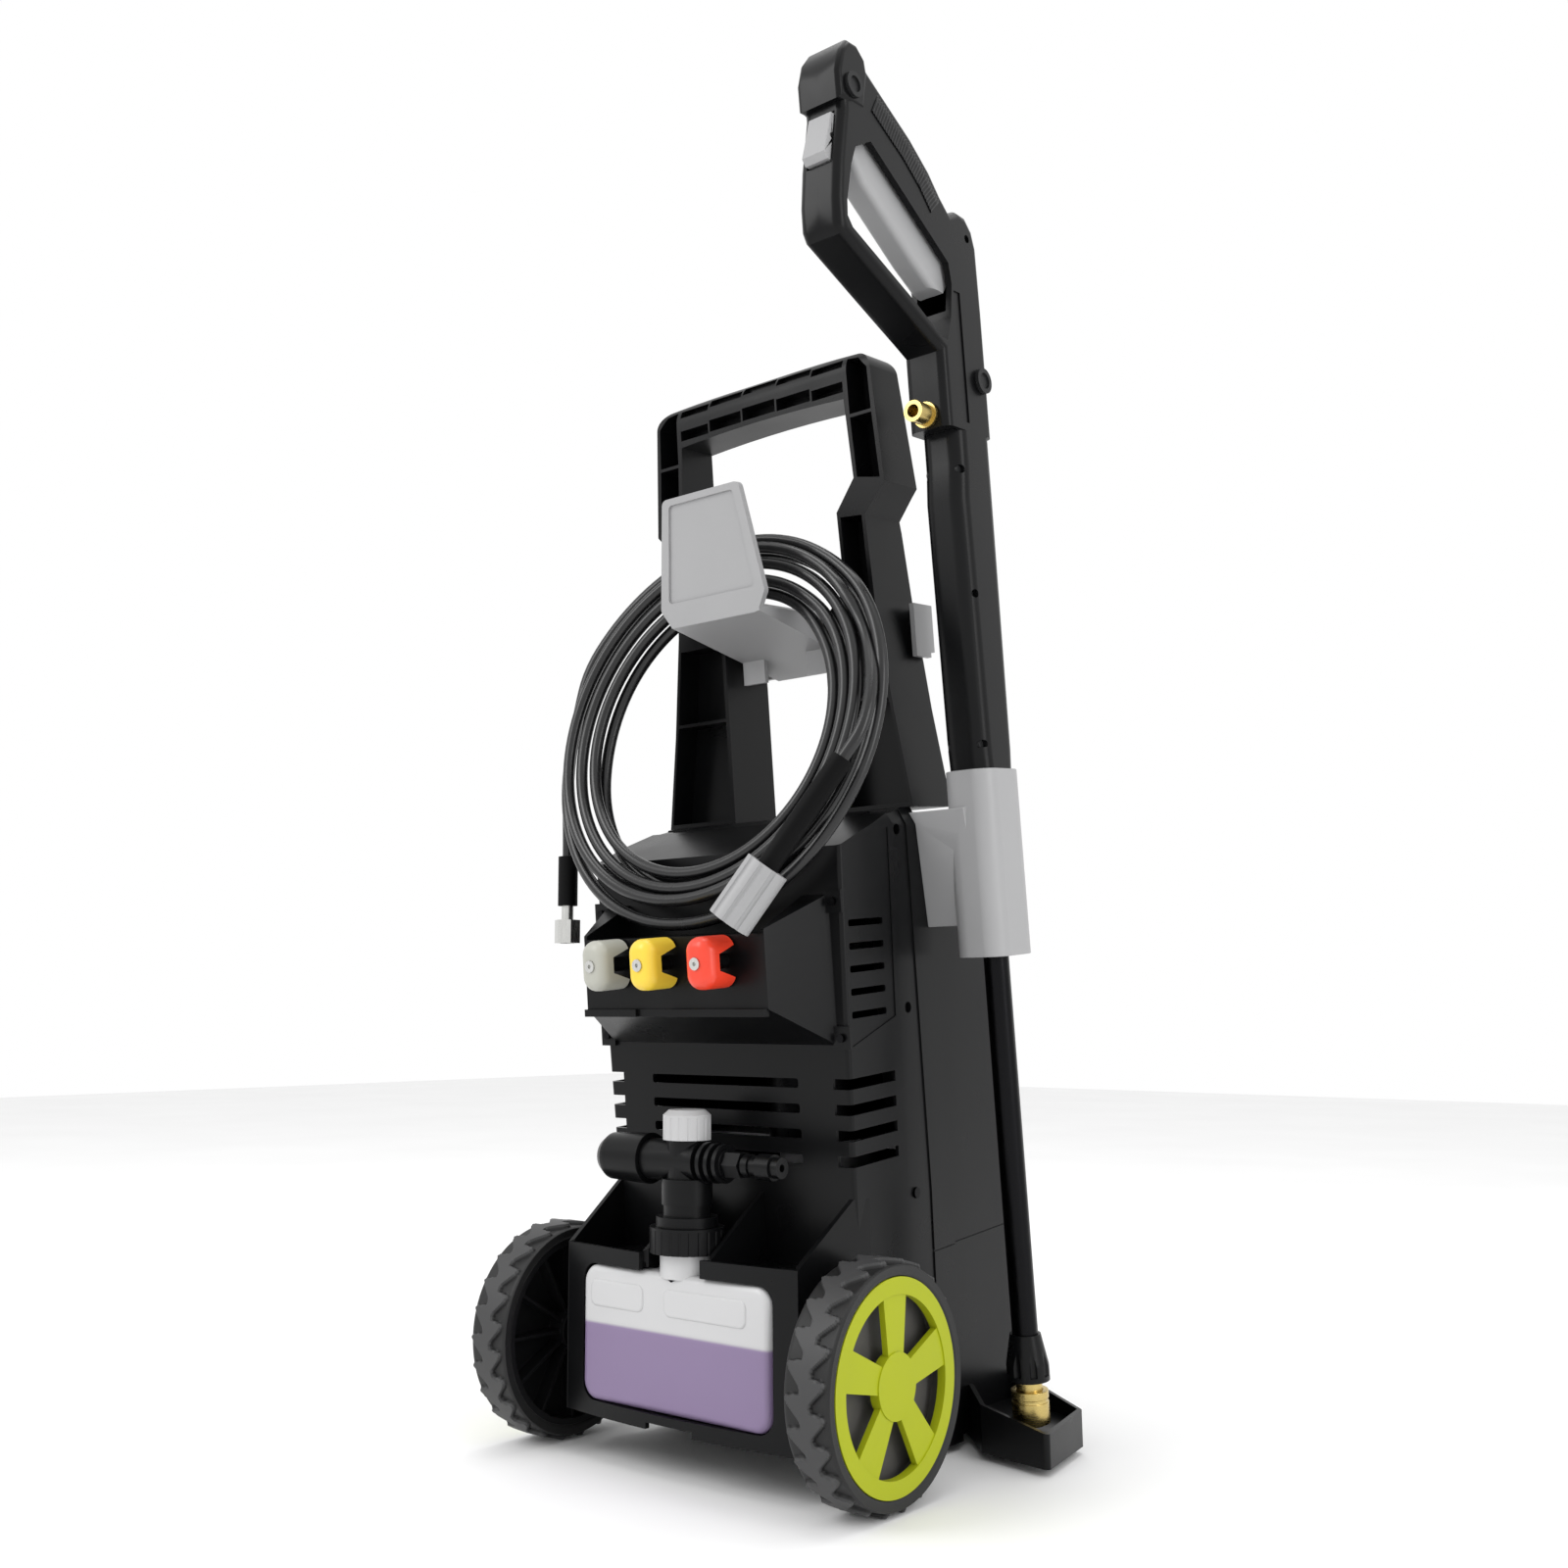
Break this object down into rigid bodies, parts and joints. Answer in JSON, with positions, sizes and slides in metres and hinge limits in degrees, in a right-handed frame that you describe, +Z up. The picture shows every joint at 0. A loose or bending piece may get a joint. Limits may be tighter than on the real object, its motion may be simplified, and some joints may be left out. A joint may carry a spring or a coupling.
{
  "type": "electric pressure washer",
  "caption": "Upright wheeled electric pressure washer with push handle, hose coiled on a hook, spray gun and lance in a side holster, clip-on nozzles and a foam cannon.",
  "frame": {"origin": "bottom centre of the machine without its hose, on the floor plane", "axes": "+Z up, +X to the right seen from the front, the front faces -Y"},
  "size_m": [0.409, 0.4244, 1.1224],
  "materials": {
    "black_plastic": "satin moulded black",
    "dark_grey_plastic": "textured dark grey",
    "light_grey_plastic": "satin light grey",
    "lime_plastic": "satin lime",
    "white_plastic": "satin warm white",
    "yellow_plastic": "satin yellow",
    "red_plastic": "satin orange red",
    "clear_bottle": "translucent blow-moulded",
    "soap": "violet washing liquid",
    "tyre_black": "ribbed black",
    "hose_black": "smooth black",
    "rubber_black": "matte black",
    "steel": "turned",
    "zinc_steel": "zinc plated",
    "brass": "turned brass",
    "aluminium_cast": "cast",
    "black_tube": "black coated tube",
    "dark_screw": "blackened",
    "motor_steel": "grey paint"
  },
  "bodies": {
    "machine": {"front_housing": "black_plastic", "rear_housing": "black_plastic", "nozzle_panel": "black_plastic", "bottle_cradle": "black_plastic", "push_handle": "black_plastic", "hose_hook": "light_grey_plastic", "lance_holster": "light_grey_plastic", "lance_bracket": "black_plastic", "rubber_feet": "rubber_black", "case_screws": "dark_screw", "stub_axles": "zinc_steel", "push_nuts": "zinc_steel", "motor_can": "motor_steel", "motor_end_bells": "aluminium_cast", "pump_housing": "aluminium_cast", "pump_pistons": "steel", "pump_head": "aluminium_cast", "inlet_connector": "dark_grey_plastic", "outlet_connector": "brass", "switch_box": "dark_grey_plastic", "cord_gland": "rubber_black", "hose_coil": "hose_black", "hose_sleeves": "rubber_black", "hose_nut": "light_grey_plastic", "hose_fitting": "zinc_steel", "hose_tail_right": "hose_black", "hose_tail_left": "hose_black"},
    "gun": {"gun_shell_left": "black_plastic", "gun_shell_right": "black_plastic", "gun_screws": "dark_grey_plastic", "gun_valve": "brass", "lance_tube": "black_tube", "lance_collar": "dark_grey_plastic", "coupler_body": "brass"},
    "trigger": {"gun_trigger": "light_grey_plastic"},
    "lock": {"trigger_lock": "light_grey_plastic"},
    "coupler": {"coupler_sleeve": "brass"},
    "wheel_right": {"tyre_right": "tyre_black", "wheel_disc_right": "dark_grey_plastic", "hub_cap_right": "lime_plastic"},
    "wheel_left": {"tyre_left": "tyre_black", "wheel_disc_left": "dark_grey_plastic", "hub_cap_left": "lime_plastic"},
    "nozzle_white": {"nozzle_cap_white": "white_plastic", "nozzle_tip_white": "steel"},
    "nozzle_yellow": {"nozzle_cap_yellow": "yellow_plastic", "nozzle_tip_yellow": "steel"},
    "nozzle_red": {"nozzle_cap_red": "red_plastic", "nozzle_tip_red": "steel"},
    "foam_cannon": {"foam_bottle": "clear_bottle", "foam_liquid": "soap", "foam_collar": "black_plastic", "foam_body": "black_plastic", "foam_plug": "black_plastic"},
    "foam_dial": {"foam_knob": "light_grey_plastic"},
    "foam_nozzle": {"foam_barrel": "black_plastic"},
    "power_switch": {"power_knob": "lime_plastic"},
    "rotor": {"motor_rotor": "steel", "cooling_fan": "dark_grey_plastic", "swash_plate": "steel"}
  },
  "joints": [
    {"name": "wheel_right_spin", "type": "hinge", "parent": "machine", "child": "wheel_right", "pos_m": [0.14887, -0.12317, 0.089], "axis": [1, 0, 0], "continuous": true},
    {"name": "wheel_left_spin", "type": "hinge", "parent": "machine", "child": "wheel_left", "pos_m": [-0.18113, -0.12317, 0.089], "axis": [1, 0, 0], "continuous": true},
    {"name": "gun_lift", "type": "slide", "parent": "machine", "child": "gun", "axis": [0, -0.0896, 0.996], "range_m": [0, 0.55]},
    {"name": "trigger_pull", "type": "hinge", "parent": "gun", "child": "trigger", "pos_m": [0.16887, -0.16165, 1.05279], "axis": [1, 0, 0], "range_deg": [0, 7], "stiffness_Nm_per_rad": 2, "springref_deg": -8.59},
    {"name": "lock_rock", "type": "hinge", "parent": "gun", "child": "lock", "pos_m": [0.16887, -0.19643, 1.03761], "axis": [1, 0, 0], "range_deg": [-5, 0]},
    {"name": "coupler_slide", "type": "slide", "parent": "gun", "child": "coupler", "axis": [0, -0.0896, 0.996], "range_m": [0, 0.006], "stiffness_N_per_m": 300, "springref_m": -0.01},
    {"name": "nozzle_white_pull", "type": "slide", "parent": "machine", "child": "nozzle_white", "axis": [0, -0.996, -0.0896], "range_m": [0, 0.045]},
    {"name": "nozzle_yellow_pull", "type": "slide", "parent": "machine", "child": "nozzle_yellow", "axis": [0, -0.996, -0.0896], "range_m": [0, 0.045]},
    {"name": "nozzle_red_pull", "type": "slide", "parent": "machine", "child": "nozzle_red", "axis": [0, -0.996, -0.0896], "range_m": [0, 0.045]},
    {"name": "foam_cannon_slide", "type": "slide", "parent": "machine", "child": "foam_cannon", "axis": [0, -1, 0], "range_m": [0, 0.12]},
    {"name": "foam_dial_turn", "type": "hinge", "parent": "foam_cannon", "child": "foam_dial", "pos_m": [-0.01613, -0.14617, 0.265], "axis": [0, 0, 1], "range_deg": [0, 150]},
    {"name": "foam_nozzle_twist", "type": "hinge", "parent": "foam_cannon", "child": "foam_nozzle", "pos_m": [-0.07613, -0.14617, 0.2395], "axis": [1, 0, 0], "range_deg": [0, 90]},
    {"name": "power_switch_turn", "type": "hinge", "parent": "machine", "child": "power_switch", "pos_m": [0.04387, 0.16199, 0.45739], "axis": [0, 0.996, 0.0896], "range_deg": [0, 90]},
    {"name": "rotor_spin", "type": "hinge", "parent": "machine", "child": "rotor", "pos_m": [-0.01613, 0.03918, 0.31582], "axis": [0, -0.0896, 0.996], "continuous": true}
  ]
}
